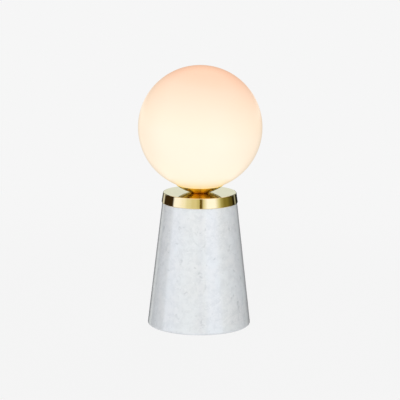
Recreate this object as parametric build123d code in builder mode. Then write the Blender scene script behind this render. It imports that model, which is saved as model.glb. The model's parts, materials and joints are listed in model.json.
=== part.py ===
from build123d import *
from math import pi, sqrt
import os

# A table lamp: a lit opal glass globe, screwed onto a carrier in a brass cup,
# over a brass collar on a stone cone.
# Millimetres. Z = 0 is the underside of the pad, the lamp's axis is Z, and the cable leaves towards +Y.
os.makedirs("parts", exist_ok=True)

# ---- Driving dimensions ----

# Pad and stone base
pad_thickness = 0.6
pad_inset = 5.0
base_height = 130.9
base_radius = 54.4
base_top_radius = 39.3
base_edge_radius = 2.0
base_top_chamfer = 0.5
recess_radius = 34.0
recess_depth = 26.0

# Bottom cover, its plugs and screws
cover_thickness = 1.5
cover_ledge = 7.0
cover_clearance = 0.2
cover_screw_count = 3
cover_screw_angle = 30.0
cover_screw_radius = 1.45
cover_head_radius = 2.7
cover_screw_length = 11.0
plug_radius = 2.6
plug_length = 13.0

# Collar and its spacer
collar_height = 10.8
collar_overhang = 0.8
collar_taper = 1.6
collar_plate = 2.5
collar_skirt = 2.2
collar_edge = 0.35
spacer_wall = 4.8

# Threaded tube, its nuts and washers
tube_radius = 5.0
tube_wall = 1.0
tube_clearance = 0.2
stone_clearance = 0.5
tube_overhang = 1.0
nut_wall = 2.0
nut_height = 4.0
thin_nut_height = 3.0
clamp_washer_radius = 20.0
clamp_washer_thickness = 1.5
lock_washer_width = 3.8
lock_washer_thickness = 1.6
lock_washer_slit = 1.5
tag_width_round_tube = 2.8
tag_thickness = 0.8
tag_gap = 1.8
tag_width = 4.0
crimp_radius = 1.8
crimp_length = 5.0

# Brass cup and the gasket on its ledge
cup_foot_radius = 9.5
cup_floor = 1.2
cup_floor_margin = 0.5
cup_rim_margin = 6.0
cup_rim_width = 1.2
cup_rim_gap = 0.27
cup_bulge = 0.88
cup_edge = 0.3
ledge_height = 5.0
carrier_seat_width = 1.9
gasket_thickness = 1.5
gasket_clearance = 0.2

# Glass globe
globe_diameter = 130.0
globe_wall = 3.0
mouth_radius = 17.0
lip_width = 1.9
neck_wall = 2.5
neck_height = 10.0
glass_edge = 0.5
crown_flat_radius = 0.5

# Carrier that the globe screws onto
thread_clearance = 0.1
carrier_hub_margin = 2.0
carrier_floor = 2.5
carrier_wall = 2.0
carrier_height = 10.5

# Lampholder, its bracket and contacts
bracket_thickness = 1.0
bracket_land = 2.3
bracket_bend = 1.7
bracket_arm_margin = 4.0
lead_room = 8.0
holder_length = 20.0
holder_nut_room = 1.0
holder_height = 18.0
holder_corner = 2.0
pocket_length = 14.0
pocket_width = 9.2
pocket_depth = 5.0
pocket_corner = 1.5
pin_spacing = 9.0
slot_length = 2.1
slot_width = 4.2
leaf_gap = 0.55
leaf_thickness = 0.4
leaf_width = 3.6
leaf_height = 9.5
tail_radius = 1.0
tail_length = 1.4
holder_screw_radius = 1.5
holder_screw_length = 4.5
holder_screw_height = 5.5
pan_head_radius = 2.6
pan_head_height = 1.6

# Bulb
bulb_clearance = 0.3
bulb_radius = 7.8
bulb_base_height = 10.0
bulb_cover_height = 24.0
bulb_cover_wall = 0.8
bulb_top_radius = 7.0
pin_wire_radius = 0.4
pin_loop_width = 2.4
pin_length = 6.0
board_width = 10.0
board_thickness = 1.0
board_height = 19.0
board_corner = 2.0
led_length = 2.8
led_height = 1.6
led_thickness = 0.6
led_rows = 5
led_row_pitch = 3.2
led_column_pitch = 4.8

# Terminal block on the bottom cover, and the leads
block_distance = 16.0
block_depth = 14.0
block_height = 13.0
block_end = 3.5
block_edge = 1.0
terminal_pitch = 9.0
terminal_height = 5.5
barrel_radius = 2.1
barrel_bore_radius = 1.3
barrel_setback = 1.0
barrel_clearance = 0.1
clamp_screw_radius = 1.2
clamp_screw_pitch = 6.0
clamp_screw_sink = 0.8
clamp_screw_slot = 0.4
block_screw_radius = 1.45
lead_radius = 1.0
lead_offset = 1.6
lead_bend_radius = 5.0
lead_top_bend_radius = 3.0
lead_straight = 6.0
lead_drop = 1.6
lead_rise = 2.0
lead_clearance = 0.05

# Cable outlet at the back of the base
outlet_height = 14.0
outlet_bore_radius = 3.5
outlet_body_radius = 5.4
outlet_flange_radius = 7.5
outlet_flange_thickness = 1.8
outlet_flange_edge = 0.6
outlet_lip_radius = 6.5
outlet_lip_thickness = 1.8
outlet_sink = 2.4
outlet_clearance = 0.1
screw_clearance = 0.05

# ---- Levels and fits that follow from them ----

base_bottom = pad_thickness
base_top = base_bottom + base_height
recess_ceiling = base_bottom + recess_depth
cover_seat_radius = recess_radius + cover_ledge
cover_top = base_bottom + cover_thickness
cover_screw_circle = recess_radius + cover_ledge / 2
collar_top = base_top + collar_height
collar_bottom_radius = base_top_radius + collar_overhang
collar_top_radius = collar_bottom_radius - collar_taper
shaft_hole_radius = tube_radius + tube_clearance
tube_bore_radius = tube_radius - tube_wall
nut_flats = 2 * (tube_radius + nut_wall)
spacer_radius = shaft_hole_radius + spacer_wall
lock_washer_radius = shaft_hole_radius + lock_washer_width
tag_radius = shaft_hole_radius + tag_width_round_tube
tag_reach = lock_washer_radius + tag_gap + crimp_radius

clamp_washer_bottom = recess_ceiling - clamp_washer_thickness
tag_bottom = clamp_washer_bottom - tag_thickness
lock_washer_bottom = tag_bottom - lock_washer_thickness
base_nut_bottom = lock_washer_bottom - nut_height
tube_bottom = base_nut_bottom - 2 * tube_overhang

ledge_level = collar_top + ledge_height
lip_level = ledge_level + gasket_thickness
carrier_floor_top = ledge_level + carrier_floor
carrier_nut_top = carrier_floor_top + nut_height
bracket_nut_bottom = carrier_nut_top + bracket_thickness
bracket_nut_top = bracket_nut_bottom + thin_nut_height
tube_top = bracket_nut_top + tube_overhang

globe_radius = globe_diameter / 2
lip_radius = mouth_radius + lip_width
globe_centre = lip_level + sqrt(globe_radius**2 - lip_radius**2)
carrier_radius = mouth_radius - thread_clearance
ledge_inner_radius = carrier_radius - carrier_seat_width
cup_floor_radius = cup_foot_radius + cup_floor_margin
carrier_hub_radius = cup_floor_radius - carrier_hub_margin
cup_rim_radius = lip_radius + cup_rim_margin
cup_rim_inner_radius = cup_rim_radius - cup_rim_width
cup_rim_level = globe_centre - sqrt(globe_radius**2 - cup_rim_inner_radius**2) - cup_rim_gap

bracket_width = 2 * (shaft_hole_radius + bracket_land)
holder_width = nut_flats + 2 * holder_nut_room
holder_bottom = tube_top + lead_room
holder_top = holder_bottom + holder_height
pocket_floor = holder_top - pocket_depth
leaf_top = pocket_floor - leaf_thickness
leaf_bottom = leaf_top - leaf_height
tail_bottom = leaf_bottom - leaf_thickness - tail_length
bulb_base_bottom = holder_top + bulb_clearance
bulb_base_top = bulb_base_bottom + bulb_base_height
tongue_bottom = pocket_floor + bulb_clearance

terminal_level = cover_top + terminal_height
block_top = cover_top + block_height
block_front = -block_distance
block_middle = block_front - block_depth / 2
lead_end = block_middle + clamp_screw_pitch / 2 - clamp_screw_radius - lead_clearance


def stone_radius_at(level):
    """Radius of the stone cone's outside at a height."""
    share = (level - base_bottom) / base_height
    return base_radius + share * (base_top_radius - base_radius)


def hex_nut(bottom, height):
    """A hexagon nut on the threaded tube."""
    with BuildPart() as nut:
        with BuildSketch(Plane.XY.offset(bottom)):
            RegularPolygon(nut_flats / 2, 6, major_radius=False)
            Circle(tube_radius, mode=Mode.SUBTRACT)
        extrude(amount=height)
    return nut


def ring(outer_radius, inner_radius, bottom, height):
    """A flat ring on the lamp's axis."""
    with BuildPart() as washer:
        with BuildSketch(Plane.XY.offset(bottom)):
            Circle(outer_radius)
            Circle(inner_radius, mode=Mode.SUBTRACT)
        extrude(amount=height)
    return washer


def lead(points, radii):
    """A round insulated lead along straight runs joined by arcs."""
    with BuildPart() as wire:
        with BuildLine() as route:
            FilletPolyline(*points, radius=radii)
        with BuildSketch(Plane(origin=route.line @ 0, z_dir=route.line % 0)):
            Circle(lead_radius)
        sweep(path=route.line)
    plain_volume = pi * lead_radius**2 * route.wire().length
    print("lead volume over section times length", wire.part.volume / plain_volume)
    return wire


# ---- Pad ----

with BuildPart() as base_pad:
    with BuildSketch():
        Circle(base_radius - pad_inset)
    extrude(amount=pad_thickness)
base_pad.part.label = "base_pad"
export_step(base_pad.part, "parts/base_pad.step")

# ---- Stone base: a cone with a wiring recess below, a bore for the tube and a hole for the cable ----

outlet_seat = stone_radius_at(outlet_height) - outlet_sink
outlet_plane = Plane(origin=(0, outlet_seat, outlet_height), z_dir=(0, 1, 0))

with BuildPart() as stone_base:
    with BuildSketch(Plane.XZ):
        with BuildLine():
            Polyline(
                (tube_radius + stone_clearance, base_top),
                (base_top_radius, base_top),
                (base_radius, base_bottom),
                (cover_seat_radius, base_bottom),
                (cover_seat_radius, cover_top),
                (recess_radius, cover_top),
                (recess_radius, recess_ceiling),
                (tube_radius + stone_clearance, recess_ceiling),
                close=True,
            )
        make_face()
    revolve(axis=Axis.Z)
    rims = stone_base.edges().filter_by(GeomType.CIRCLE).group_by(SortBy.RADIUS)
    fillet(rims[-1], min(base_edge_radius, 0.8 * (base_radius - cover_seat_radius)))
    top_rim = stone_base.edges().filter_by(GeomType.CIRCLE).group_by(Axis.Z)[-1].sort_by(SortBy.RADIUS)[-1]
    chamfer(top_rim, base_top_chamfer)
    with BuildSketch(outlet_plane):
        Circle(outlet_body_radius + outlet_clearance)
    extrude(amount=-outlet_seat, mode=Mode.SUBTRACT)
    with BuildSketch(outlet_plane):
        Circle(outlet_flange_radius + outlet_clearance)
    extrude(amount=base_radius, mode=Mode.SUBTRACT)
    with BuildSketch(Plane.XY.offset(cover_top)):
        with PolarLocations(cover_screw_circle, cover_screw_count, start_angle=cover_screw_angle):
            Circle(plug_radius)
    extrude(amount=plug_length, mode=Mode.SUBTRACT)
stone_base.part.label = "stone_base"
export_step(stone_base.part, "parts/stone_base.step")

# ---- Cable outlet: a rubber grommet between a flange outside and a lip inside the recess ----

outlet_inner_end = sqrt(recess_radius**2 - outlet_lip_radius**2) - outlet_clearance - outlet_lip_thickness
outlet_outer_end = outlet_seat + outlet_flange_thickness

with BuildPart() as cable_grommet:
    with BuildSketch(Plane.YZ):
        with BuildLine():
            Polyline(
                (outlet_inner_end, outlet_height + outlet_bore_radius),
                (outlet_inner_end, outlet_height + outlet_lip_radius),
                (outlet_inner_end + outlet_lip_thickness, outlet_height + outlet_lip_radius),
                (outlet_inner_end + outlet_lip_thickness, outlet_height + outlet_body_radius),
                (outlet_seat, outlet_height + outlet_body_radius),
                (outlet_seat, outlet_height + outlet_flange_radius),
                (outlet_outer_end, outlet_height + outlet_flange_radius),
                (outlet_outer_end, outlet_height + outlet_bore_radius),
                close=True,
            )
        make_face()
    revolve(axis=Axis((0, 0, outlet_height), (0, 1, 0)))
    fillet(cable_grommet.edges().group_by(Axis.Y)[-1].sort_by(SortBy.RADIUS)[-1], outlet_flange_edge)
cable_grommet.part.label = "cable_grommet"
export_step(cable_grommet.part, "parts/cable_grommet.step")

# ---- Bottom cover, screwed to plugs in the stone, and the terminal block's holes in it ----

with BuildPart() as bottom_cover:
    with BuildSketch(Plane.XY.offset(base_bottom)):
        Circle(cover_seat_radius - cover_clearance)
        with Locations((0, block_middle)):
            with GridLocations(terminal_pitch, 1, 2, 1):
                Circle(block_screw_radius + screw_clearance, mode=Mode.SUBTRACT)
        with PolarLocations(cover_screw_circle, cover_screw_count, start_angle=cover_screw_angle):
            Circle(cover_screw_radius + screw_clearance, mode=Mode.SUBTRACT)
    extrude(amount=cover_thickness)
    with PolarLocations(cover_screw_circle, cover_screw_count, start_angle=cover_screw_angle):
        with Locations((0, 0, base_bottom + cover_thickness / 2)):
            Cone(
                cover_head_radius + screw_clearance,
                cover_screw_radius + screw_clearance,
                cover_thickness,
                mode=Mode.SUBTRACT,
            )
bottom_cover.part.label = "bottom_cover"
export_step(bottom_cover.part, "parts/bottom_cover.step")

with BuildPart() as cover_screws:
    with PolarLocations(cover_screw_circle, cover_screw_count, start_angle=cover_screw_angle):
        with Locations((0, 0, base_bottom + cover_thickness / 2)):
            Cone(cover_head_radius, cover_screw_radius, cover_thickness)
        with Locations((0, 0, base_bottom + cover_screw_length / 2)):
            Cylinder(cover_screw_radius, cover_screw_length)
cover_screws.part.label = "cover_screws"
export_step(cover_screws.part, "parts/cover_screws.step")

with BuildPart() as cover_plugs:
    with BuildSketch(Plane.XY.offset(cover_top)):
        with PolarLocations(cover_screw_circle, cover_screw_count, start_angle=cover_screw_angle):
            Circle(plug_radius)
            Circle(cover_screw_radius + screw_clearance, mode=Mode.SUBTRACT)
    extrude(amount=plug_length)
cover_plugs.part.label = "cover_plugs"
export_step(cover_plugs.part, "parts/cover_plugs.step")

# ---- Collar: a tapered brass cap on the stone, with a spacer round the tube below its plate ----

with BuildPart() as collar:
    with BuildSketch(Plane.XZ):
        with BuildLine():
            Polyline(
                (shaft_hole_radius, collar_top),
                (collar_top_radius, collar_top),
                (collar_bottom_radius, base_top),
                (collar_bottom_radius - collar_skirt, base_top),
                (collar_top_radius - collar_skirt, collar_top - collar_plate),
                (shaft_hole_radius, collar_top - collar_plate),
                close=True,
            )
        make_face()
    revolve(axis=Axis.Z)
    outer_rims = collar.edges().filter_by(GeomType.CIRCLE).group_by(Axis.Z)
    fillet(outer_rims[-1].sort_by(SortBy.RADIUS)[-1], collar_edge)
    fillet(outer_rims[0].sort_by(SortBy.RADIUS)[-1], collar_edge)
collar.part.label = "collar"
export_step(collar.part, "parts/collar.step")

collar_spacer = ring(spacer_radius, shaft_hole_radius, base_top, collar_height - collar_plate)
collar_spacer.part.label = "collar_spacer"
export_step(collar_spacer.part, "parts/collar_spacer.step")

# ---- Threaded tube, which clamps the stack from the recess to the lampholder ----

threaded_tube = ring(tube_radius, tube_bore_radius, tube_bottom, tube_top - tube_bottom)
threaded_tube.part.label = "threaded_tube"
export_step(threaded_tube.part, "parts/threaded_tube.step")

clamp_washer = ring(clamp_washer_radius, shaft_hole_radius, clamp_washer_bottom, clamp_washer_thickness)
clamp_washer.part.label = "clamp_washer"
export_step(clamp_washer.part, "parts/clamp_washer.step")

with BuildPart() as earth_tag:
    with BuildSketch(Plane.XY.offset(tag_bottom)):
        Circle(tag_radius)
        with Locations((-tag_reach / 2, 0)):
            Rectangle(tag_reach, tag_width)
        with Locations((-tag_reach, 0)):
            Circle(tag_width / 2)
        Circle(shaft_hole_radius, mode=Mode.SUBTRACT)
    extrude(amount=tag_thickness)
    with BuildSketch(Plane.XY.offset(tag_bottom)):
        with Locations((-tag_reach, 0)):
            Circle(crimp_radius)
    extrude(amount=-crimp_length)
    with BuildSketch(Plane.XY.offset(tag_bottom)):
        with Locations((-tag_reach, 0)):
            Circle(lead_radius + lead_clearance)
    extrude(amount=-crimp_length, mode=Mode.SUBTRACT)
earth_tag.part.label = "earth_tag"
export_step(earth_tag.part, "parts/earth_tag.step")

with BuildPart() as lock_washer:
    with BuildSketch(Plane.XY.offset(lock_washer_bottom)):
        Circle(lock_washer_radius)
        Circle(shaft_hole_radius, mode=Mode.SUBTRACT)
        with Locations((lock_washer_radius, 0)):
            Rectangle(2 * (lock_washer_radius - tube_bore_radius), lock_washer_slit, mode=Mode.SUBTRACT)
    extrude(amount=lock_washer_thickness)
lock_washer.part.label = "lock_washer"
export_step(lock_washer.part, "parts/lock_washer.step")

base_nut = hex_nut(base_nut_bottom, nut_height)
base_nut.part.label = "base_nut"
export_step(base_nut.part, "parts/base_nut.step")

# ---- Brass cup: a shallow bowl turned from solid, with a flat ledge inside for the gasket and carrier ----

with BuildPart() as globe_cup:
    with BuildSketch(Plane.XZ):
        with BuildLine():
            Line((shaft_hole_radius, collar_top), (cup_foot_radius, collar_top))
            SagittaArc((cup_foot_radius, collar_top), (cup_rim_radius, cup_rim_level), -cup_bulge)
            Polyline(
                (cup_rim_radius, cup_rim_level),
                (cup_rim_inner_radius, cup_rim_level),
                (lip_radius + 2 * gasket_clearance, ledge_level),
                (ledge_inner_radius, ledge_level),
                (cup_floor_radius, collar_top + cup_floor),
                (shaft_hole_radius, collar_top + cup_floor),
                (shaft_hole_radius, collar_top),
            )
        make_face()
    revolve(axis=Axis.Z)
    fillet(globe_cup.edges().filter_by(GeomType.CIRCLE).group_by(Axis.Z)[-1], cup_edge)
globe_cup.part.label = "globe_cup"
export_step(globe_cup.part, "parts/globe_cup.step")

globe_gasket = ring(lip_radius, mouth_radius + gasket_clearance / 2, ledge_level, gasket_thickness)
globe_gasket.part.label = "globe_gasket"
export_step(globe_gasket.part, "parts/globe_gasket.step")

# ---- Carrier: the flanged ring that the globe's neck screws onto ----

with BuildPart() as globe_carrier:
    with BuildSketch(Plane.XZ):
        with BuildLine():
            Polyline(
                (shaft_hole_radius, collar_top + cup_floor),
                (carrier_hub_radius, collar_top + cup_floor),
                (carrier_hub_radius, ledge_level),
                (carrier_radius, ledge_level),
                (carrier_radius, ledge_level + carrier_height),
                (carrier_radius - carrier_wall, ledge_level + carrier_height),
                (carrier_radius - carrier_wall, carrier_floor_top),
                (shaft_hole_radius, carrier_floor_top),
                close=True,
            )
        make_face()
    revolve(axis=Axis.Z)
globe_carrier.part.label = "globe_carrier"
export_step(globe_carrier.part, "parts/globe_carrier.step")

carrier_nut = hex_nut(carrier_floor_top, nut_height)
carrier_nut.part.label = "carrier_nut"
export_step(carrier_nut.part, "parts/carrier_nut.step")

# ---- Glass globe, with its neck turned inwards, and a flat of 1 mm across at its crown ----

inner_radius = globe_radius - globe_wall
globe_top = globe_centre + sqrt(globe_radius**2 - crown_flat_radius**2)
inner_top = globe_centre + sqrt(inner_radius**2 - crown_flat_radius**2)
neck_radius = mouth_radius + neck_wall
neck_top = lip_level + neck_height
neck_root = globe_centre - sqrt(inner_radius**2 - neck_radius**2)

with BuildPart() as glass_globe:
    with BuildSketch(Plane.XZ):
        with BuildLine():
            ThreePointArc(
                (lip_radius, lip_level), (globe_radius, globe_centre), (crown_flat_radius, globe_top)
            )
            Polyline(
                (crown_flat_radius, globe_top),
                (0, globe_top),
                (0, inner_top),
                (crown_flat_radius, inner_top),
            )
            ThreePointArc(
                (crown_flat_radius, inner_top), (inner_radius, globe_centre), (neck_radius, neck_root)
            )
            Polyline(
                (neck_radius, neck_root),
                (neck_radius, neck_top),
                (mouth_radius, neck_top),
                (mouth_radius, lip_level),
                (lip_radius, lip_level),
            )
        make_face()
    revolve(axis=Axis.Z)
    neck_rims = glass_globe.edges().filter_by(GeomType.CIRCLE)
    neck_rims = neck_rims.filter_by_position(Axis.Z, neck_root + glass_edge, neck_top + glass_edge)
    fillet(neck_rims, glass_edge)
glass_globe.part.label = "glass_globe"
export_step(glass_globe.part, "parts/glass_globe.step")

# ---- Lampholder on its bracket ----

arm_top = holder_bottom + holder_screw_height + bracket_arm_margin
arm_outside = holder_width / 2 + bracket_thickness

with BuildPart() as holder_bracket:
    with BuildSketch(Plane.YZ.offset(-bracket_width / 2)):
        with BuildLine():
            FilletPolyline(
                (-arm_outside, arm_top),
                (-arm_outside, carrier_nut_top),
                (arm_outside, carrier_nut_top),
                (arm_outside, arm_top),
                radius=bracket_bend,
            )
            offset(amount=bracket_thickness, side=Side.LEFT)
        make_face()
    extrude(amount=bracket_width)
    with BuildSketch(Plane.XY.offset(carrier_nut_top)):
        Circle(shaft_hole_radius)
    extrude(amount=bracket_thickness, mode=Mode.SUBTRACT)
    with BuildSketch(Plane.XZ.offset(-arm_outside)):
        with Locations((0, holder_bottom + holder_screw_height)):
            Circle(holder_screw_radius + screw_clearance)
    extrude(amount=2 * arm_outside, mode=Mode.SUBTRACT)
holder_bracket.part.label = "holder_bracket"
export_step(holder_bracket.part, "parts/holder_bracket.step")

bracket_nut = hex_nut(bracket_nut_bottom, thin_nut_height)
bracket_nut.part.label = "bracket_nut"
export_step(bracket_nut.part, "parts/bracket_nut.step")

with BuildPart() as lampholder_body:
    with BuildSketch(Plane.XY.offset(holder_bottom)):
        RectangleRounded(holder_length, holder_width, holder_corner)
    extrude(amount=holder_height)
    with BuildSketch(Plane.XY.offset(pocket_floor)):
        RectangleRounded(pocket_length, pocket_width, pocket_corner)
    extrude(amount=pocket_depth, mode=Mode.SUBTRACT)
    with BuildSketch(Plane.XY.offset(holder_bottom)):
        with GridLocations(pin_spacing, 1, 2, 1):
            Rectangle(slot_length, slot_width)
    extrude(amount=holder_height, mode=Mode.SUBTRACT)
    with BuildSketch(Plane.XZ.offset(-holder_width / 2)):
        with Locations((0, holder_bottom + holder_screw_height)):
            Circle(holder_screw_radius + screw_clearance)
    extrude(amount=holder_width, mode=Mode.SUBTRACT)
lampholder_body.part.label = "lampholder_body"
export_step(lampholder_body.part, "parts/lampholder_body.step")

with BuildPart() as lampholder_contacts:
    with BuildSketch(Plane.XY.offset(leaf_bottom)):
        with GridLocations(pin_spacing, 1, 2, 1):
            Rectangle(2 * (leaf_gap + leaf_thickness), leaf_width)
            Rectangle(2 * leaf_gap, leaf_width, mode=Mode.SUBTRACT)
    extrude(amount=leaf_height)
    with BuildSketch(Plane.XY.offset(leaf_bottom)):
        with GridLocations(pin_spacing, 1, 2, 1):
            Rectangle(2 * (leaf_gap + leaf_thickness), leaf_width)
    extrude(amount=-leaf_thickness)
    with BuildSketch(Plane.XY.offset(tail_bottom)):
        with GridLocations(pin_spacing, 1, 2, 1):
            Circle(tail_radius)
    extrude(amount=tail_length)
lampholder_contacts.part.label = "lampholder_contacts"
export_step(lampholder_contacts.part, "parts/lampholder_contacts.step")

screw_level = holder_bottom + holder_screw_height

with BuildPart() as holder_screws:
    with BuildSketch(Plane.XZ.offset(arm_outside)):
        with Locations((0, screw_level)):
            Circle(pan_head_radius)
    extrude(amount=pan_head_height)
    with BuildSketch(Plane.XZ.offset(arm_outside)):
        with Locations((0, screw_level)):
            Circle(holder_screw_radius)
    extrude(amount=-holder_screw_length)
    fillet(holder_screws.edges().group_by(Axis.Y)[0], pan_head_height / 2)
    mirror(about=Plane.XZ)
holder_screws.part.label = "holder_screws"
export_step(holder_screws.part, "parts/holder_screws.step")

# ---- Plug-in bulb: base with a flat tongue, two pin loops, and a cover over a board with its LEDs ----

with BuildPart() as bulb_base:
    with BuildSketch(Plane.XY.offset(bulb_base_bottom)):
        Circle(bulb_radius)
    extrude(amount=bulb_base_height)
    chamfer(bulb_base.edges().group_by(Axis.Z)[0], bulb_clearance)
    with BuildSketch(Plane.XY.offset(bulb_base_bottom)):
        RectangleRounded(
            pocket_length - 2 * bulb_clearance,
            pocket_width - 2 * bulb_clearance,
            pocket_corner - bulb_clearance,
        )
    extrude(amount=tongue_bottom - bulb_base_bottom)
bulb_base.part.label = "bulb_base"
export_step(bulb_base.part, "parts/bulb_base.step")

with BuildPart() as bulb_pins:
    for x in (-pin_spacing / 2, pin_spacing / 2):
        with BuildLine() as loop:
            FilletPolyline(
                (x, -pin_loop_width / 2, tongue_bottom),
                (x, -pin_loop_width / 2, tongue_bottom - pin_length),
                (x, pin_loop_width / 2, tongue_bottom - pin_length),
                (x, pin_loop_width / 2, tongue_bottom),
                radius=pin_loop_width / 2 - pin_wire_radius / 2,
            )
        with BuildSketch(Plane(origin=loop.line @ 0, z_dir=loop.line % 0)):
            Circle(pin_wire_radius)
        sweep(path=loop.line)
bulb_pins.part.label = "bulb_pins"
export_step(bulb_pins.part, "parts/bulb_pins.step")

with BuildPart() as bulb_cover:
    with BuildSketch(Plane.XY.offset(bulb_base_top)):
        Circle(bulb_radius)
    extrude(amount=bulb_cover_height)
    fillet(bulb_cover.edges().group_by(Axis.Z)[-1], bulb_top_radius)
    offset(amount=-bulb_cover_wall, openings=bulb_cover.faces().sort_by(Axis.Z)[0])
bulb_cover.part.label = "bulb_cover"
export_step(bulb_cover.part, "parts/bulb_cover.step")

with BuildPart() as bulb_board:
    with BuildSketch(Plane.XY.offset(bulb_base_top)):
        Rectangle(board_width, board_thickness)
    extrude(amount=board_height)
    top_corners = bulb_board.edges().filter_by(Axis.Y).group_by(Axis.Z)[-1]
    chamfer(top_corners, board_corner)
bulb_board.part.label = "bulb_board"
export_step(bulb_board.part, "parts/bulb_board.step")

with BuildPart() as bulb_leds:
    with BuildSketch(Plane.XZ.offset(board_thickness / 2)):
        with Locations((0, bulb_base_top + board_height / 2)):
            with GridLocations(led_column_pitch, led_row_pitch, 2, led_rows):
                Rectangle(led_length, led_height)
    extrude(amount=led_thickness)
    mirror(about=Plane.XZ)
bulb_leds.part.label = "bulb_leds"
export_step(bulb_leds.part, "parts/bulb_leds.step")

# ---- Terminal block on the bottom cover ----

block_width = 2 * terminal_pitch + 2 * (barrel_radius + block_end / 2)

with BuildPart() as terminal_block:
    with BuildSketch(Plane.XY.offset(cover_top)):
        with Locations((0, block_middle)):
            Rectangle(block_width, block_depth)
            with GridLocations(terminal_pitch, 1, 2, 1):
                Circle(block_screw_radius + screw_clearance, mode=Mode.SUBTRACT)
    extrude(amount=block_height)
    chamfer(terminal_block.edges().filter_by(Axis.Y).group_by(Axis.Z)[-1], block_edge)
    with BuildSketch(Plane.XZ.offset(-block_front)):
        with Locations((0, terminal_level)):
            with GridLocations(terminal_pitch, 1, 3, 1):
                Circle(barrel_radius + barrel_clearance)
    extrude(amount=block_depth, mode=Mode.SUBTRACT)
    with BuildSketch(Plane.XY.offset(terminal_level)):
        with Locations((0, block_middle)):
            with GridLocations(terminal_pitch, clamp_screw_pitch, 3, 2):
                Circle(clamp_screw_radius + 2 * barrel_clearance)
    extrude(amount=block_height, mode=Mode.SUBTRACT)
terminal_block.part.label = "terminal_block"
export_step(terminal_block.part, "parts/terminal_block.step")

with BuildPart() as terminal_barrels:
    with BuildSketch(Plane.XZ.offset(-block_front + barrel_setback)):
        with Locations((0, terminal_level)):
            with GridLocations(terminal_pitch, 1, 3, 1):
                Circle(barrel_radius)
                Circle(barrel_bore_radius, mode=Mode.SUBTRACT)
    extrude(amount=block_depth - 2 * barrel_setback)
    with BuildSketch(Plane.XY.offset(terminal_level)):
        with Locations((0, block_middle)):
            with GridLocations(terminal_pitch, clamp_screw_pitch, 3, 2):
                Circle(clamp_screw_radius + screw_clearance)
    extrude(amount=barrel_radius, mode=Mode.SUBTRACT)
terminal_barrels.part.label = "terminal_barrels"
export_step(terminal_barrels.part, "parts/terminal_barrels.step")

with BuildPart() as terminal_screws:
    with BuildSketch(Plane.XY.offset(terminal_level + lead_radius + lead_clearance)):
        with Locations((0, block_middle)):
            with GridLocations(terminal_pitch, clamp_screw_pitch, 3, 2):
                Circle(clamp_screw_radius)
    extrude(amount=block_height - terminal_height - lead_radius - lead_clearance - clamp_screw_sink)
    with BuildSketch(Plane.XY.offset(block_top - clamp_screw_sink)):
        with Locations((0, block_middle)):
            with GridLocations(terminal_pitch, clamp_screw_pitch, 3, 2):
                Rectangle(2 * clamp_screw_radius, clamp_screw_slot)
    extrude(amount=-clamp_screw_sink, mode=Mode.SUBTRACT)
terminal_screws.part.label = "terminal_screws"
export_step(terminal_screws.part, "parts/terminal_screws.step")

with BuildPart() as block_screws:
    with BuildSketch(Plane.XY.offset(base_bottom)):
        with Locations((0, block_middle)):
            with GridLocations(terminal_pitch, 1, 2, 1):
                Circle(block_screw_radius)
    extrude(amount=block_top - base_bottom)
    with BuildSketch(Plane.XY.offset(block_top)):
        with Locations((0, block_middle)):
            with GridLocations(terminal_pitch, 1, 2, 1):
                Circle(pan_head_radius)
    extrude(amount=pan_head_height)
    fillet(block_screws.edges().group_by(Axis.Z)[-1], pan_head_height / 2)
block_screws.part.label = "block_screws"
export_step(block_screws.part, "parts/block_screws.step")

# ---- Internal leads: two from the terminals up the tube to the lampholder, one from the tag ----

lead_bend_top = holder_bottom - lead_drop
lead_bend_low = tube_top + lead_rise
approach = block_front + lead_straight

lead_live = lead(
    [
        (pin_spacing / 2, 0, tail_bottom),
        (pin_spacing / 2, 0, lead_bend_top),
        (lead_offset, 0, lead_bend_low),
        (lead_offset, 0, terminal_level),
        (terminal_pitch, approach, terminal_level),
        (terminal_pitch, lead_end, terminal_level),
    ],
    [lead_top_bend_radius, lead_top_bend_radius, lead_bend_radius, lead_bend_radius],
)
lead_live.part.label = "lead_live"
export_step(lead_live.part, "parts/lead_live.step")

lead_neutral = lead(
    [
        (-pin_spacing / 2, 0, tail_bottom),
        (-pin_spacing / 2, 0, lead_bend_top),
        (-lead_offset, 0, lead_bend_low),
        (-lead_offset, 0, terminal_level),
        (0, approach, terminal_level),
        (0, lead_end, terminal_level),
    ],
    [lead_top_bend_radius, lead_top_bend_radius, lead_bend_radius, lead_bend_radius],
)
lead_neutral.part.label = "lead_neutral"
export_step(lead_neutral.part, "parts/lead_neutral.step")

lead_earth = lead(
    [
        (-tag_reach, 0, tag_bottom),
        (-tag_reach, 0, terminal_level),
        (-terminal_pitch, approach, terminal_level),
        (-terminal_pitch, lead_end, terminal_level),
    ],
    [lead_bend_radius, lead_bend_radius],
)
lead_earth.part.label = "lead_earth"
export_step(lead_earth.part, "parts/lead_earth.step")
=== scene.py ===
import bpy
import bmesh
import json
from math import asin, atan, cos, pi, radians, sin, sqrt, tan
from mathutils import Matrix, Vector


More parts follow.
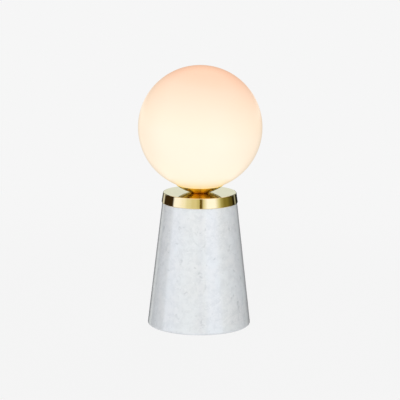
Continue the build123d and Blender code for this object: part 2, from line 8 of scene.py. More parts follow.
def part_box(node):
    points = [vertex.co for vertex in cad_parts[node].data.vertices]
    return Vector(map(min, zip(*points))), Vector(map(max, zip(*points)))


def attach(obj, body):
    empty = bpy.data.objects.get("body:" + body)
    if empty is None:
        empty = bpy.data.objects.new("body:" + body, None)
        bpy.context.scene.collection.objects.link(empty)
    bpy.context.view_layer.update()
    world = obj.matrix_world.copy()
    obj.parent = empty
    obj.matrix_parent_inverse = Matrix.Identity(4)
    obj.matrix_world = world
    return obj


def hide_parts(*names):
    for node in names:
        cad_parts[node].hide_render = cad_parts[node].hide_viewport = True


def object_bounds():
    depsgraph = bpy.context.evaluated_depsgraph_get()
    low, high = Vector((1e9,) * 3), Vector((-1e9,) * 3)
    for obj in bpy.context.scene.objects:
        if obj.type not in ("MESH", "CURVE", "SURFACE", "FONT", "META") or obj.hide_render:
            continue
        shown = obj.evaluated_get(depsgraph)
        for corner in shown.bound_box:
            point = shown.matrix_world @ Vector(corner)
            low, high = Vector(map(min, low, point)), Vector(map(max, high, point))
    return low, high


# Glass globe table lamp: a lit opal globe in a brass cup, a brass collar, a stone cone.
# Metres, +Z up, the camera is on the -Y side.

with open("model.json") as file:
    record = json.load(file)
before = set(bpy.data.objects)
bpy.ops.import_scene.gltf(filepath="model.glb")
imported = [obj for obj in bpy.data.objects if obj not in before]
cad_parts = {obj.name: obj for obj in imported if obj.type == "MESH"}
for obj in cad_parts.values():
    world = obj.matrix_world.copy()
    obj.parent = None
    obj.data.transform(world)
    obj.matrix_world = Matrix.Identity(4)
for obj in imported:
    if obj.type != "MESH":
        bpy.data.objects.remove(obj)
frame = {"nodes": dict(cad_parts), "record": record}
cadLow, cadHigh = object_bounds()
print("frame loaded, height", round(cadHigh.z, 4))

mm = 0.001
scene = bpy.context.scene
scene.view_settings.view_transform = "Standard"
scene.cycles.glossy_bounces = 12  # light is mirrored many times between the cup and the collar
slotOfNode = {part["node"]: part["material_slot"] for part in frame["record"]["subparts"]}
bodies = frame["record"]["behaviour"]["bodies"]
bodyOfNode = {node: body for body, nodes in bodies.items() for node in nodes}

# Camera, at the photograph's viewing angle

view = {
    "lens": 183.24,
    "sensor": 36.0,
    "distance": 2.142,
    "target": Vector((0.0003, 0.0, 0.1336)),
    "down": radians(11.02),
    "roll": radians(0.4),
}

cameraData = bpy.data.cameras.new("photoCamera")
cameraData.lens = view["lens"]
cameraData.sensor_width = view["sensor"]
camera = bpy.data.objects.new("photoCamera", cameraData)
aim = Matrix.Rotation(pi / 2 - view["down"], 4, "X") @ Matrix.Rotation(view["roll"], 4, "Z")
back = Matrix.Translation((0, 0, view["distance"]))
camera.matrix_world = Matrix.Translation(view["target"]) @ aim @ back
scene.collection.objects.link(camera)
scene.camera = camera
print("camera set")


class Wire:  # a shader socket that can stand in a sum
    def __init__(self, finish, socket):
        self.finish = finish
        self.socket = socket

    def maths(self, operation, *others, swapped=False):
        terms = [self, *others]
        if swapped:
            terms.reverse()
        return self.finish.node("Math", {"operation": operation}, dict(enumerate(terms)))

    def __add__(self, other):
        return self.maths("ADD", other)

    def __sub__(self, other):
        return self.maths("SUBTRACT", other)

    def __rsub__(self, other):
        return self.maths("SUBTRACT", other, swapped=True)

    def __mul__(self, other):
        return self.maths("MULTIPLY", other)

    def __truediv__(self, other):
        return self.maths("DIVIDE", other)

    def __pow__(self, other):
        return self.maths("POWER", other)

    def __abs__(self):
        return self.maths("ABSOLUTE")

    __radd__ = __add__
    __rmul__ = __mul__


class Finish:  # the nodes of one material, or of the world
    def __init__(self, owner):
        self.owner = owner
        owner.use_nodes = True
        self.nodes = owner.node_tree.nodes
        self.links = owner.node_tree.links
        self.nodes.clear()

    def node(self, kind, settings=None, sockets=None, output=0):
        made = self.nodes.new("ShaderNode" + kind)
        for key, value in (settings or {}).items():
            if key == "stops":
                self.setStops(made.color_ramp.elements, value)
            else:
                setattr(made, key, value)
        for key, value in (sockets or {}).items():
            if isinstance(value, Wire):
                self.links.new(value.socket, made.inputs[key])
            elif isinstance(value, tuple) and len(made.inputs[key].default_value) == 4:
                made.inputs[key].default_value = (*value, 1.0)
            else:
                made.inputs[key].default_value = value
        return Wire(self, made.outputs[output]) if made.outputs else made

    def setStops(self, elements, stops):
        while len(elements) < len(stops):
            elements.new(1.0)
        for element, (place, colour) in zip(elements, stops):
            element.position = place
            element.color = (*colour, 1.0)

    def outputs(self, wire, *names):
        return [Wire(self, wire.socket.node.outputs[name]) for name in names]

    def place(self):  # Object coordinates, in metres
        return self.node("TexCoord", output="Object")

    def axes(self, point, names="XYZ"):
        return self.outputs(self.node("SeparateXYZ", sockets={0: point}), *names)

    def point(self, x, y, z):
        return self.node("CombineXYZ", sockets={0: x, 1: y, 2: z})

    def noise(self, point, grain, detail=2.0, roughness=0.5, warp=0.0):  # grain is a spot's size
        shape = {"Detail": detail, "Roughness": roughness, "Distortion": warp}
        return self.node("TexNoise", sockets={"Vector": point, "Scale": 0.5 / grain, **shape})

    def cells(self, point, grain):  # distance from the middle of each cell
        return self.node("TexVoronoi", sockets={"Vector": point, "Scale": 1.0 / grain})

    def ramp(self, factor, *stops):
        return self.node("ValToRGB", {"stops": stops}, {0: factor})

    def span(self, value, low, high, newLow=0.0, newHigh=1.0):
        sockets = {0: value, 1: low, 2: high, 3: newLow, 4: newHigh}
        return self.node("MapRange", {"interpolation_type": "SMOOTHSTEP"}, sockets)

    def mixed(self, factor, first, second):
        return self.node("Mix", {"data_type": "RGBA"}, {0: factor, 6: first, 7: second}, output=2)

    def bumps(self, height, distance):
        return self.node("Bump", sockets={"Strength": 1.0, "Distance": distance, "Height": height})

    def glow(self, colour, strength=1.0):
        return self.node("Emission", sockets={"Color": colour, "Strength": strength})

    def shown(self, shader):
        self.node("OutputMaterial", sockets={"Surface": shader})
        return self.owner

    def surface(self, **values):  # Base_Color stands for Base Color
        named = {key.replace("_", " "): value for key, value in values.items()}
        return self.shown(self.node("BsdfPrincipled", sockets=named))


def newFinish(name):
    return Finish(bpy.data.materials.new(name))


# Studio: a pale floor and backdrop, plain lights, and the screens that brass and stone mirror

studio = {
    "white": (1.0, 1.0, 1.0),
    "backdrop": 0.922,
    "ambient": 0.45,
    "floorHalf": 40.0,
    "floorBelow": 0.1 * mm,
    "paper": (0.9, 0.9, 0.9),
    "paperShare": 0.05,  # of what the floor shows near the lamp, where it takes the shadow
    "paperReach": (0.2, 0.8),  # that share fades out between these distances
}

lights = {
    "keyLight": {"azimuth": -3, "elevation": 20, "distance": 2.4, "size": 1.5, "power": 29.5},
    "backLight": {"azimuth": 165, "elevation": 35, "distance": 1.3, "size": 0.8, "power": 4.0},
}

screens = {
    "radius": 0.45,
    "low": -0.15,
    "high": 0.6,
    "segments": 180,
    "panelRadius": 0.43,
    "panelTurn": radians(120),
    "panelSteps": 60,
    "brightest": 2.0,  # a ramp's colours end at 1, so the cards are stored as shares of this
}

# Each card covers these degrees round the lamp, from 0 in front, + to the right,
# and fades into the next

cards = [
    ((-180, -176), (0.80, 0.80, 0.62)),
    ((-172, -148), (0.040, 0.040, 0.035)),
    ((-144, -133), (0.66, 0.69, 0.64)),
    ((-129, -86), (0.041, 0.026, 0.010)),
    ((-80, -64), (1.10, 1.20, 1.38)),
    ((-50, -46), (1.02, 1.07, 1.02)),
    ((-36, -30), (0.84, 0.87, 0.65)),
    ((-21, -11), (0.75, 0.74, 0.46)),
    ((-4, -3), (0.62, 0.60, 0.30)),
    ((1, 6), (0.130, 0.090, 0.010)),
    ((11, 12), (0.80, 0.80, 0.55)),
    ((23, 46), (1.15, 1.26, 1.44)),
    ((57, 58), (0.75, 0.78, 0.51)),
    ((66, 67), (0.42, 0.41, 0.16)),
    ((78, 89), (0.230, 0.205, 0.045)),
    ((101, 109), (0.115, 0.098, 0.023)),
    ((118, 126), (0.016, 0.012, 0.003)),
    ((129, 134), (0.36, 0.39, 0.33)),
    ((138, 172), (0.020, 0.020, 0.017)),
    ((176, 180), (0.80, 0.80, 0.62)),
]

# Panels behind the lamp, one above the other: the collar's top mirrors the lower,
# the cup's sides the upper

panels = [
    ((0.20, 0.26), (0.77, 0.86, 0.84)),
    ((0.26, 0.60), (0.05, 0.04, 0.03)),
]


def seenDirectly(finish):  # 1 for what the camera, metal and glass see
    path = finish.node("LightPath")
    rays = finish.outputs(path, "Is Camera Ray", "Is Glossy Ray", "Is Transmission Ray")
    return (rays[0] + rays[1] + rays[2]).maths("MINIMUM", 1.0)


def newObject(name, mesh, finish=None):
    data = bpy.data.meshes.new(name)
    mesh.to_mesh(data)
    mesh.free()
    if finish:
        data.materials.append(finish)
    piece = bpy.data.objects.new(name, data)
    scene.collection.objects.link(piece)
    return piece


def hideExceptInMirrors(piece):
    for rays in ("camera", "diffuse", "transmission", "volume_scatter", "shadow"):
        setattr(piece, "visible_" + rays, False)


def makeWorld():
    world = bpy.data.worlds.new("studioWorld")
    scene.world = world
    finish = Finish(world)
    level = finish.span(seenDirectly(finish), 0.0, 1.0, studio["ambient"], studio["backdrop"])
    background = finish.node("Background", sockets={"Color": studio["white"], "Strength": level})
    finish.node("OutputWorld", sockets={"Surface": background})


def makeFloor():
    mesh = bmesh.new()
    bmesh.ops.create_grid(mesh, x_segments=1, y_segments=1, size=studio["floorHalf"])
    bmesh.ops.translate(mesh, verts=mesh.verts, vec=(0, 0, -studio["floorBelow"]))
    finish = newFinish("studioFloor")
    x, y = finish.axes(finish.place(), "XY")
    away = (x * x + y * y) ** 0.5
    share = finish.span(away, *studio["paperReach"], studio["paperShare"], 0.0)
    paper = finish.node("BsdfDiffuse", sockets={"Color": studio["paper"]})
    lit = finish.glow(studio["white"], studio["backdrop"])
    plain = seenDirectly(finish) * (1 - share)
    top = finish.node("MixShader", sockets={0: plain, 1: paper, 2: lit})
    (below,) = finish.outputs(finish.node("NewGeometry"), "Backfacing")
    clear = finish.node("BsdfTransparent")
    both = finish.node("MixShader", sockets={0: below, 1: top, 2: clear})
    floor = newObject("floor", mesh, finish.shown(both))
    floor.visible_glossy = False


def splitRamp(finish, factor, stops):  # a ramp holds 32 stops, so the circle takes two
    left = finish.ramp(factor, *[stop for stop in stops if stop[0] <= 0.5])
    right = finish.ramp(factor, *[stop for stop in stops if stop[0] > 0.5])
    return finish.mixed(factor.maths("GREATER_THAN", 0.5), left, right)


def makeScreens():
    mesh = bmesh.new()
    bmesh.ops.create_cone(
        mesh,
        cap_ends=False,
        segments=screens["segments"],
        radius1=screens["radius"],
        radius2=screens["radius"],
        depth=screens["high"] - screens["low"],
        matrix=Matrix.Translation((0, 0, (screens["high"] + screens["low"]) / 2)),
    )
    finish = newFinish("studioScreens")
    x, y = finish.axes(finish.place(), "XY")
    turn = x.maths("ARCTAN2", y * -1.0) / (2 * pi) + 0.5
    stops = []
    for edges, colour in cards:
        tone = tuple(part / screens["brightest"] for part in colour)
        stops += [(0.5 + edge / 360, tone) for edge in edges]
    light = finish.glow(splitRamp(finish, turn, stops), screens["brightest"])
    hideExceptInMirrors(newObject("screens", mesh, finish.shown(light)))

    sweep = screens["panelTurn"]
    corner = Matrix.Rotation(-sweep / 2, 3, "Z") @ Vector((0, screens["panelRadius"], 0))
    for levels, colour in panels:
        mesh = bmesh.new()
        edge = mesh.edges.new([mesh.verts.new((corner.x, corner.y, level)) for level in levels])
        bmesh.ops.spin(
            mesh,
            geom=[edge],
            cent=(0, 0, 0),
            axis=(0, 0, 1),
            angle=sweep,
            steps=screens["panelSteps"],
        )
        finish = newFinish("rearPanel")
        hideExceptInMirrors(newObject("rearPanel", mesh, finish.shown(finish.glow(colour))))


def makeLights():
    middle = Matrix.Translation((0, 0, cadHigh.z / 2))
    for name, light in lights.items():
        data = bpy.data.lights.new(name, "AREA")
        data.size = light["size"]
        data.energy = light["power"]
        lamp = bpy.data.objects.new(name, data)
        turned = Matrix.Rotation(radians(light["azimuth"]), 4, "Z")
        raised = Matrix.Rotation(radians(90 - light["elevation"]), 4, "X")
        away = Matrix.Translation((0, 0, light["distance"]))
        lamp.matrix_world = middle @ turned @ raised @ away
        lamp.visible_camera = False
        lamp.visible_glossy = False
        scene.collection.objects.link(lamp)


makeWorld()
makeFloor()
makeScreens()
makeLights()
print("studio built")

# Finishes, one for each material slot and one more for the cup.
# A noise is given as its grain, detail, roughness and warp.

middling = (0.3, 0.7)  # nearly all of a noise's values lie between these


def opalGlass():
    look = {
        "glass": (0.09, 0.08, 0.07),
        "cloud": (0.11, 0.10, 0.08),
        "clouds": (9 * mm, 3.0),
        "cloudGlow": 0.02,
        "tilt": 0.14,  # painted light: the bulb's dimmer, warmer glow at the crown reaches further down on the right
        "tiltRange": (-0.7, 0.0),  # in radii above the globe's middle
        "satin": 0.42,
        "satinSpread": 0.06,
        "satinGrain": 4 * mm,
        "ior": 1.3,
        "coat": 0.8,
        "coatSatin": 0.3,
        "coatIor": 1.2,
        "coatTint": (1.0, 0.90, 0.81),
        "waves": (14 * mm, 1.0),
        "waveDepth": 0.02 * mm,
    }
    # The bulb's light through the glass, from under the globe up to its crown
    glowStops = [
        (0.02, (0.97, 0.85, 0.48)),
        (0.06, (0.97, 0.90, 0.65)),
        (0.09, (0.97, 0.94, 0.77)),
        (0.13, (0.97, 0.955, 0.85)),
        (0.30, (0.97, 0.94, 0.85)),
        (0.48, (0.97, 0.935, 0.84)),
        (0.61, (0.97, 0.90, 0.785)),
        (0.70, (0.97, 0.86, 0.745)),
        (0.78, (0.97, 0.82, 0.695)),
        (0.85, (0.97, 0.775, 0.65)),
        (0.90, (0.97, 0.725, 0.59)),
        (0.95, (0.97, 0.685, 0.545)),
        (1.00, (0.97, 0.675, 0.53)),
    ]
    low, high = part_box("glass_globe")
    radius = (high.x - low.x) / 2
    centre = high.z - radius
    finish = newFinish("opalGlass")
    place = finish.place()
    x, z = finish.axes(place, "XZ")
    height = (z - centre) / radius
    tilt = finish.span(height, *look["tiltRange"], 0.0, look["tilt"]) * x / radius
    cloud = finish.noise(place, *look["clouds"])
    satin = finish.noise(place, look["satinGrain"])
    haziest = look["satin"] + look["satinSpread"]
    level = (height + tilt) * 0.5 + 0.5 + (cloud - 0.5) * look["cloudGlow"]
    return finish.surface(
        Base_Color=finish.mixed(cloud, look["glass"], look["cloud"]),
        Roughness=finish.span(satin, *middling, look["satin"], haziest),
        IOR=look["ior"],
        Coat_Weight=look["coat"],
        Coat_Roughness=look["coatSatin"],
        Coat_IOR=look["coatIor"],
        Coat_Tint=look["coatTint"],
        Emission_Color=finish.ramp(level, *glowStops),
        Emission_Strength=1.0,
        Normal=finish.bumps(finish.noise(place, *look["waves"]), look["waveDepth"]),
    )


def brass(name, metal, deep, polish, haze):
    look = {
        "rings": (0.25 * mm, 2.0),
        "ringHaze": 0.06,
        "ringShare": 0.8,  # of the bump; fine scratches round the piece make the rest
        "scratches": (0.35 * mm, 2.0),
        "scratchStretch": 9.0,
        "wear": (6 * mm, 4.0, 0.6),
        "wearRange": (0.4, 0.75),
        "depth": 0.002 * mm,
    }
    finish = newFinish(name)
    place = finish.place()
    x, y, z = finish.axes(place)
    reach = (x * x + y * y) ** 0.5
    rings = finish.noise(finish.point(reach, 0.0, z), *look["rings"])
    worn = finish.noise(place, *look["wear"])
    scratch = finish.noise(finish.point(x, y, z * look["scratchStretch"]), *look["scratches"])
    dull = finish.span(worn, *look["wearRange"], polish, haze)
    marks = rings * look["ringShare"] + scratch * (1 - look["ringShare"])
    return finish.surface(
        Base_Color=finish.mixed(worn, metal, deep),
        Metallic=1.0,
        Roughness=dull + (rings - 0.5) * look["ringHaze"],
        Normal=finish.bumps(marks, look["depth"]),
    )


def marble():
    look = {
        "body": (0.805, 0.84, 0.875),
        "warm": (0.82, 0.84, 0.865),
        "warmRange": (0.35, 0.65),
        "cloud": (0.72, 0.75, 0.785),
        "cloudRange": (0.40, 0.68),
        "cloudShare": 0.75,
        "vein": (0.58, 0.61, 0.63),
        "veinWidth": 0.014,
        "veinRange": (0.4, 0.7),
        "veinShare": 0.3,
        "crystal": (0.88, 0.90, 0.93),
        "crystalRange": (0.60, 0.72),
        "crystalShare": 0.45,
        "spot": (0.50, 0.53, 0.56),
        "spotRange": (0.62, 0.76),
        "spotShare": 0.5,
        "polish": 0.03,
        "cloudHaze": 0.03,
        "spotHaze": 0.2,
        "ior": 1.65,
        "fineDepth": 0.5,  # against 1 for the spots
        "depth": 0.006 * mm,
    }
    noises = {
        "broad": (16 * mm, 3.0, 0.55, 0.6),
        "cloudy": (3.5 * mm, 5.0, 0.65, 0.4),
        "fine": (1.0 * mm, 3.0),
        "drift": (30 * mm, 5.0, 0.6, 1.4),
        "spots": (2.8 * mm, 3.0, 0.45, 0.5),
        "crystals": (1.3 * mm, 2.0, 0.4, 0.3),
    }
    finish = newFinish("marble")
    place = finish.place()
    seen = {name: finish.noise(place, *noise) for name, noise in noises.items()}
    warmth = finish.span(seen["broad"], *look["warmRange"])
    clouds = finish.span(seen["cloudy"], *look["cloudRange"])
    veins = finish.span(abs(seen["drift"] - 0.5), 0.0, look["veinWidth"], 1.0, 0.0)
    veins = veins * finish.span(seen["broad"], *look["veinRange"])
    crystals = finish.span(seen["crystals"], *look["crystalRange"])
    spots = finish.span(seen["spots"], *look["spotRange"])
    tone = finish.mixed(warmth, look["body"], look["warm"])
    tone = finish.mixed(clouds * look["cloudShare"], tone, look["cloud"])
    tone = finish.mixed(veins * look["veinShare"], tone, look["vein"])
    tone = finish.mixed(crystals * look["crystalShare"], tone, look["crystal"])
    tone = finish.mixed(spots * look["spotShare"], tone, look["spot"])
    haziest = look["polish"] + look["cloudHaze"]
    satin = finish.span(seen["cloudy"], *middling, look["polish"], haziest)
    return finish.surface(
        Base_Color=tone,
        Roughness=satin + spots * look["spotHaze"],
        IOR=look["ior"],
        Normal=finish.bumps(seen["fine"] * look["fineDepth"] - spots, look["depth"]),
    )


def metal(name, pale, dark, polish, haze, grain):
    look = {
        "spangle": (4.0, 0.6),  # the detail and roughness of its noise
        "spangleRange": (0.35, 0.65),
        "spangleShare": 0.6,  # of the roughness; a finer grain makes the rest
        "finer": 8,
        "depth": 0.01 * mm,
    }
    finish = newFinish(name)
    place = finish.place()
    spangle = finish.noise(place, grain, *look["spangle"])
    fine = finish.noise(place, grain / look["finer"])
    rough = spangle * look["spangleShare"] + fine * (1 - look["spangleShare"])
    return finish.surface(
        Base_Color=finish.mixed(finish.span(spangle, *look["spangleRange"]), pale, dark),
        Metallic=1.0,
        Roughness=finish.span(rough, *middling, polish, haze),
        Normal=finish.bumps(fine, look["depth"]),
    )


def moulded(name, pale, dark, polish, haze, grain=0.3 * mm, dent=0.01 * mm, glowing=None):
    look = {"cloudSize": 12, "cloudDetail": 3.0}  # the size is in grains
    finish = newFinish(name)
    place = finish.place()
    cloud = finish.noise(place, grain * look["cloudSize"], look["cloudDetail"])
    skin = finish.noise(place, grain)
    lit = {"Emission_Color": glowing, "Emission_Strength": 1.0} if glowing else {}
    if glowing:
        finish.owner.cycles.emission_sampling = "NONE"
    return finish.surface(
        Base_Color=finish.mixed(finish.span(cloud, *middling), pale, dark),
        Roughness=finish.span(skin, *middling, polish, haze),
        Normal=finish.bumps(skin, dent),
        **lit,
    )


def foam():
    look = {
        "pale": (0.80, 0.80, 0.79),
        "dark": (0.66, 0.66, 0.65),
        "cell": 0.8 * mm,
        "cellShare": 0.8,
        "clouds": (8 * mm, 3.0),
        "roughness": (0.85, 0.95),
        "depth": 0.08 * mm,
    }
    finish = newFinish("foamPad")
    place = finish.place()
    cells = finish.cells(place, look["cell"])
    cloud = finish.noise(place, *look["clouds"])
    shade = cells * look["cellShare"] + cloud * (1 - look["cellShare"])
    return finish.surface(
        Base_Color=finish.mixed(shade, look["dark"], look["pale"]),
        Roughness=finish.span(cloud, *middling, *look["roughness"]),
        Normal=finish.bumps(cells, look["depth"]),
    )


brasses = {
    "collar": {
        "name": "brass",
        "metal": (0.93, 0.77, 0.50),
        "deep": (0.90, 0.72, 0.43),
        "polish": 0.05,
        "haze": 0.10,
    },
    "cup": {
        "name": "spunBrass",
        "metal": (0.97, 0.86, 0.36),
        "deep": (0.94, 0.81, 0.30),
        "polish": 0.20,
        "haze": 0.26,
    },
}

platings = {
    "steel": {
        "name": "zincSteel",
        "pale": (0.64, 0.64, 0.66),
        "dark": (0.52, 0.53, 0.56),
        "polish": 0.22,
        "haze": 0.42,
        "grain": 3 * mm,
    },
    "tinned": {
        "name": "tinnedBrass",
        "pale": (0.80, 0.79, 0.76),
        "dark": (0.70, 0.69, 0.66),
        "polish": 0.18,
        "haze": 0.35,
        "grain": 1 * mm,
    },
}

mouldings = {
    "silicone": {
        "name": "gasketSilicone",
        "pale": (0.76, 0.75, 0.73),
        "dark": (0.70, 0.69, 0.66),
        "polish": 0.45,
        "haze": 0.60,
    },
    "rubber": {
        "name": "grommetRubber",
        "pale": (0.70, 0.70, 0.69),
        "dark": (0.62, 0.62, 0.61),
        "polish": 0.50,
        "haze": 0.68,
        "grain": 0.25 * mm,
        "dent": 0.02 * mm,
    },
    "nylon": {
        "name": "naturalNylon",
        "pale": (0.90, 0.90, 0.87),
        "dark": (0.84, 0.84, 0.80),
        "polish": 0.38,
        "haze": 0.52,
        "grain": 0.4 * mm,
    },
    "ceramic": {
        "name": "steatite",
        "pale": (0.91, 0.90, 0.87),
        "dark": (0.83, 0.81, 0.77),
        "polish": 0.55,
        "haze": 0.75,
        "grain": 0.2 * mm,
        "dent": 0.03 * mm,
    },
    "bulb_plastic": {
        "name": "bulbPlastic",
        "pale": (0.93, 0.93, 0.92),
        "dark": (0.88, 0.88, 0.86),
        "polish": 0.25,
        "haze": 0.38,
        "grain": 0.4 * mm,
    },
    "bulb_cover": {
        "name": "bulbDiffuser",
        "pale": (0.95, 0.92, 0.84),
        "dark": (0.90, 0.86, 0.76),
        "polish": 0.35,
        "haze": 0.5,
        "glowing": (0.9, 0.75, 0.5),
    },
    "board": {
        "name": "solderMask",
        "pale": (0.92, 0.92, 0.90),
        "dark": (0.86, 0.86, 0.83),
        "polish": 0.25,
        "haze": 0.35,
    },
    "led": {
        "name": "phosphor",
        "pale": (0.93, 0.78, 0.33),
        "dark": (0.88, 0.70, 0.26),
        "polish": 0.3,
        "haze": 0.45,
        "grain": 0.15 * mm,
        "glowing": (1.0, 0.85, 0.5),
    },
}

leads = {  # the name, the colour and its darker shade
    "lead_brown": ("brownLead", (0.26, 0.13, 0.07), (0.21, 0.10, 0.05)),
    "lead_blue": ("blueLead", (0.10, 0.25, 0.55), (0.08, 0.20, 0.46)),
    "lead_green": ("greenLead", (0.25, 0.55, 0.15), (0.20, 0.46, 0.12)),
}
leadSkin = {"polish": 0.42, "haze": 0.58}

finishOf = {
    "opal_glass": opalGlass(),
    "brass": brass(**brasses["collar"]),
    "marble": marble(),
    "pad": foam(),
    **{slot: metal(**look) for slot, look in platings.items()},
    **{slot: moulded(**look) for slot, look in mouldings.items()},
    **{slot: moulded(*look, **leadSkin) for slot, look in leads.items()},
}
print("finishes made:", len(finishOf))

corners = {
    "sharp": radians(30),  # an edge that turns by more than this is bevelled
    "bevelSegments": 3,
    "weld": 0.001 * mm,
    "cutWeld": 0.002 * mm,  # takes up slivers along a cut
}


class Outline:  # half of a turned piece's section, drawn from point to point in the XZ plane
    def __init__(self, reach, level):
        self.mesh = bmesh.new()
        self.start = self.pen = self.mesh.verts.new((reach, 0, level))

    def to(self, *points):
        for reach, level in points:
            end = self.mesh.verts.new((reach, 0, level))
            self.mesh.edges.new((self.pen, end))
            self.pen = end
        return self

    def arc(self, reach, level, turn, steps):  # about a centre, anticlockwise if turn is above 0
        swept = bmesh.ops.spin(
            self.mesh,
            geom=[self.pen],
            cent=(reach, 0, level),
            axis=(0, -1, 0),
            angle=turn,
            steps=steps,
        )
        self.pen = swept["geom_last"][0]
        return self

    def bow(self, reach, level, rise, steps):  # to a point, bowed out by rise on the way's right
        start = Vector((self.pen.co.x, self.pen.co.z))
        chord = Vector((reach, level)) - start
        radius = (chord.length**2 / 4 + rise**2) / (2 * rise)
        right = Vector((chord.y, -chord.x)).normalized()
        centre = start + chord / 2 - right * (radius - rise)
        return self.arc(centre.x, centre.y, 2 * asin(chord.length / 2 / radius), steps)

    def close(self):
        self.mesh.edges.new((self.pen, self.start))
        return self

    def turned(self, segments, edge=0.0):  # edge is the bevel's width along the corners
        mesh = self.mesh
        bmesh.ops.spin(
            mesh,
            geom=mesh.verts[:] + mesh.edges[:],
            cent=(0, 0, 0),
            axis=(0, 0, 1),
            angle=2 * pi,
            steps=segments,
            use_merge=True,
        )
        bmesh.ops.remove_doubles(mesh, verts=mesh.verts, dist=corners["weld"])
        bmesh.ops.recalc_face_normals(mesh, faces=mesh.faces)
        if edge:
            softenCorners(mesh, edge)
        return mesh


def softenCorners(mesh, width):
    bmesh.ops.bevel(
        mesh,
        geom=[edge for edge in mesh.edges if edge.calc_face_angle(0) > corners["sharp"]],
        offset=width,
        offset_type="OFFSET",
        segments=corners["bevelSegments"],
        profile=0.5,
        affect="EDGES",
        material=-1,
        clamp_overlap=True,
    )


def combined(mesh, other, operation):  # UNION or DIFFERENCE
    blank, tool = newObject("blank", mesh), newObject("tool", other)
    joining = blank.modifiers.new("joining", "BOOLEAN")
    joining.operation = operation
    joining.object = tool
    bpy.context.view_layer.update()
    result = bmesh.new()
    result.from_object(blank, bpy.context.evaluated_depsgraph_get())
    bmesh.ops.remove_doubles(result, verts=result.verts, dist=corners["cutWeld"])
    bpy.data.objects.remove(blank)
    bpy.data.objects.remove(tool)
    return result


def alongY(node):  # points a piece made about Z along Y, at the node's height
    low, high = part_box(node)
    return Matrix.Translation((0, 0, (low.z + high.z) / 2)) @ Matrix.Rotation(-pi / 2, 4, "X")


def placePiece(name, mesh, node, finish=None):
    for face in mesh.faces:
        face.smooth = True
    piece = newObject(name, mesh, finish or finishOf[slotOfNode[node]])
    shading = piece.modifiers.new("shading", "WEIGHTED_NORMAL")
    shading.keep_sharp = True
    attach(piece, bodyOfNode[node])
    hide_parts(node)
    print("piece made:", name)


tubeHole = 5.2 * mm  # radius, in each piece that the threaded tube goes through

globe = {
    "wall": 3 * mm,
    "mouth": 17 * mm,
    "neckWall": 2.5 * mm,
    "neckHeight": 10 * mm,
    "edge": 0.4 * mm,
    "segments": 160,
    "outerSteps": 96,
    "innerSteps": 64,
}

globeLow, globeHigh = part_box("glass_globe")
globe["radius"] = (globeHigh.x - globeLow.x) / 2
globe["centre"] = globeHigh.z - globe["radius"]
globe["lip"] = sqrt(globe["radius"] ** 2 - (globe["centre"] - globeLow.z) ** 2)


def makeGlobe():
    centre = globe["centre"]
    inner = globe["radius"] - globe["wall"]
    neck = globe["mouth"] + globe["neckWall"]
    top = globeLow.z + globe["neckHeight"]
    outline = Outline(0, centre + globe["radius"])
    outline.arc(0, centre, asin(globe["lip"] / globe["radius"]) - pi, globe["outerSteps"])
    outline.to((globe["mouth"], globeLow.z), (globe["mouth"], top), (neck, top))
    outline.to((neck, centre - sqrt(inner**2 - neck**2)))
    outline.arc(0, centre, pi - asin(neck / inner), globe["innerSteps"])
    placePiece("opalGlobe", outline.turned(globe["segments"], globe["edge"]), "glass_globe")


def makeGasket():
    gasket = {"play": 0.1 * mm, "edge": 0.3 * mm, "segments": 96}
    low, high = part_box("globe_gasket")
    hole = globe["mouth"] + gasket["play"]
    outline = Outline(hole, low.z).to((high.x, low.z), (high.x, high.z), (hole, high.z)).close()
    placePiece("gasketRing", outline.turned(gasket["segments"], gasket["edge"]), "globe_gasket")


def makeCup():
    cup = {
        "foot": 9.0 * mm,
        "floor": 1.2 * mm,
        "floorReach": 10 * mm,
        "ledge": 5 * mm,
        "ledgeReach": 15 * mm,
        "seatPast": 0.4 * mm,  # past the globe's lip, as rimPast is
        "rimPast": 6 * mm,
        "rim": 1.2 * mm,
        "bulge": 0.88 * mm,
        "bulgeSteps": 24,
        "edge": 0.25 * mm,
        "segments": 160,
    }
    low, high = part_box("globe_cup")
    floor = low.z + cup["floor"]
    ledge = low.z + cup["ledge"]
    seat = globe["lip"] + cup["seatPast"]
    outer = globe["lip"] + cup["rimPast"]
    outline = Outline(tubeHole, low.z).to((cup["foot"], low.z))
    outline.bow(outer, high.z, cup["bulge"], cup["bulgeSteps"])
    outline.to((outer - cup["rim"], high.z), (seat, ledge), (cup["ledgeReach"], ledge))
    outline.to((cup["floorReach"], floor), (tubeHole, floor)).close()
    mesh = outline.turned(cup["segments"], cup["edge"])
    placePiece("brassCup", mesh, "globe_cup", brass(**brasses["cup"]))


def makeCollar():
    collar = {
        "bottom": 40.1 * mm,
        "taper": 1.6 * mm,
        "plate": 2.5 * mm,
        "skirt": 2.2 * mm,
        "edge": 0.7 * mm,
        "segments": 192,
    }
    low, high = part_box("collar")
    bottom, skirt = collar["bottom"], collar["skirt"]
    top = bottom - collar["taper"]
    under = high.z - collar["plate"]
    outline = Outline(tubeHole, high.z)
    outline.to((top, high.z), (bottom, low.z), (bottom - skirt, low.z))
    outline.to((top - skirt, under), (tubeHole, under)).close()
    placePiece("brassCollar", outline.turned(collar["segments"], collar["edge"]), "collar")


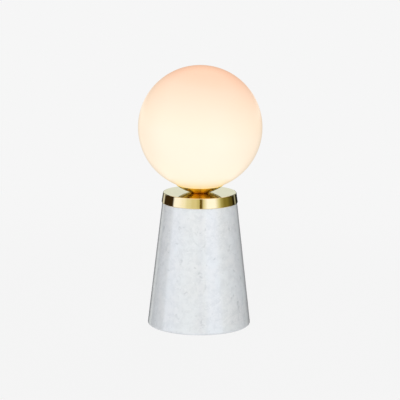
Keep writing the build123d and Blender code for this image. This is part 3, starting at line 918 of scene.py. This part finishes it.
def makeStone():
    stone = {
        "bottom": 54.4 * mm,
        "top": 39.3 * mm,
        "round": 2 * mm,
        "roundSteps": 16,
        "edge": 0.5 * mm,
        "bore": 5.5 * mm,
        "recess": 34 * mm,
        "recessHeight": 26 * mm,
        "seat": 41 * mm,
        "seatDepth": 1.5 * mm,
        "segments": 192,
    }
    outlet = {"hole": 5.5 * mm, "seat": 7.6 * mm, "flange": 1.8 * mm, "segments": 64}
    low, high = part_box("stone_base")
    lean = atan((stone["bottom"] - stone["top"]) / (high.z - low.z))
    turnBack = stone["round"] / tan((pi / 2 - lean) / 2)
    middle = (stone["bottom"] - turnBack, low.z + stone["round"])
    roundEnd = (middle[0] + stone["round"] * cos(lean), middle[1] + stone["round"] * sin(lean))
    step = low.z + stone["seatDepth"]
    ceiling = low.z + stone["recessHeight"]
    outline = Outline(stone["bore"], high.z).to((stone["top"], high.z), roundEnd)
    outline.arc(*middle, -pi / 2 - lean, stone["roundSteps"])
    outline.to((stone["seat"], low.z), (stone["seat"], step), (stone["recess"], step))
    outline.to((stone["recess"], ceiling), (stone["bore"], ceiling)).close()
    mesh = outline.turned(stone["segments"], stone["edge"])
    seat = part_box("cable_grommet")[1].y - outlet["flange"]  # from the grommet's outer face
    cutter = Outline(0, 0).to((outlet["hole"], 0), (outlet["hole"], seat), (outlet["seat"], seat))
    cutter.to((outlet["seat"], high.x + seat), (0, high.x + seat))
    tool = cutter.turned(outlet["segments"])
    bmesh.ops.transform(tool, verts=tool.verts, matrix=alongY("cable_grommet"))
    placePiece("stoneCone", combined(mesh, tool, "DIFFERENCE"), "stone_base")


def makeGrommet():
    grommet = {
        "bore": 3.5 * mm,
        "funnel": 0.7 * mm,
        "neck": 5.4 * mm,
        "lip": 6.5 * mm,
        "lipThickness": 1.8 * mm,
        "flangeThickness": 1.8 * mm,
        "edge": 0.45 * mm,
        "segments": 64,
    }
    low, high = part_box("cable_grommet")
    bore, neck, funnel = grommet["bore"], grommet["neck"], grommet["funnel"]
    inside, outside = low.y + grommet["lipThickness"], high.y - grommet["flangeThickness"]
    outline = Outline(bore, low.y).to((grommet["lip"], low.y), (grommet["lip"], inside))
    outline.to((neck, inside), (neck, outside), (high.x, outside), (high.x, high.y))
    outline.to((bore + funnel, high.y), (bore, high.y - funnel)).close()
    mesh = outline.turned(grommet["segments"], grommet["edge"])
    bmesh.ops.transform(mesh, verts=mesh.verts, matrix=alongY("cable_grommet"))
    placePiece("cableOutlet", mesh, "cable_grommet")


def makePad():
    pad = {"edge": 0.15 * mm, "segments": 128}
    low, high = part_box("base_pad")
    outline = Outline(0, low.z).to((high.x, low.z), (high.x, high.z), (0, high.z))
    placePiece("underPad", outline.turned(pad["segments"], pad["edge"]), "base_pad")


def makeCarrier():
    carrier = {
        "hub": 8 * mm,
        "height": 10.5 * mm,
        "floor": 2.5 * mm,
        "wall": 2 * mm,
        "edge": 0.25 * mm,
        "segments": 96,
    }
    thread = {
        "depth": 0.8 * mm,
        "pitch": 4 * mm,
        "turns": 1.6,
        "stepsPerTurn": 64,
        "sunk": 0.3 * mm,
        "start": 0.45,  # in pitches, above the flange
        "ridge": (0.2, 0.3, 0.5),  # in pitches: where the crest begins and ends, and the far foot
    }
    low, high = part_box("globe_carrier")
    hub, crest = carrier["hub"], high.x
    root = crest - thread["depth"]
    inner = crest - carrier["wall"]
    flange = high.z - carrier["height"]
    floor = flange + carrier["floor"]
    outline = Outline(tubeHole, low.z).to((hub, low.z), (hub, flange), (root, flange))
    outline.to((root, high.z), (inner, high.z), (inner, floor), (tubeHole, floor)).close()
    body = outline.turned(carrier["segments"], carrier["edge"])
    pitch = thread["pitch"]
    foot = root - thread["sunk"]
    start = flange + pitch * thread["start"]
    crestLow, crestHigh, end = [start + pitch * share for share in thread["ridge"]]
    ridge = Outline(foot, start).to((crest, crestLow), (crest, crestHigh), (foot, end)).close().mesh
    section = ridge.faces.new(ridge.verts)
    steps = int(thread["turns"] * thread["stepsPerTurn"])
    bmesh.ops.spin(
        ridge,
        geom=[section, *section.edges, *section.verts],
        cent=(0, 0, 0),
        axis=(0, 0, 1),
        dvec=(0, 0, pitch / thread["stepsPerTurn"]),
        angle=2 * pi * steps / thread["stepsPerTurn"],
        steps=steps,
    )
    bmesh.ops.recalc_face_normals(ridge, faces=ridge.faces)
    placePiece("globeCarrier", combined(body, ridge, "UNION"), "globe_carrier")


makeGlobe()
makeGasket()
makeCup()
makeCollar()
makeStone()
makeGrommet()
makePad()
makeCarrier()

for node, piece in frame["nodes"].items():
    piece.data.materials.clear()
    piece.data.materials.append(finishOf[slotOfNode[node]])
print("frame pieces finished")
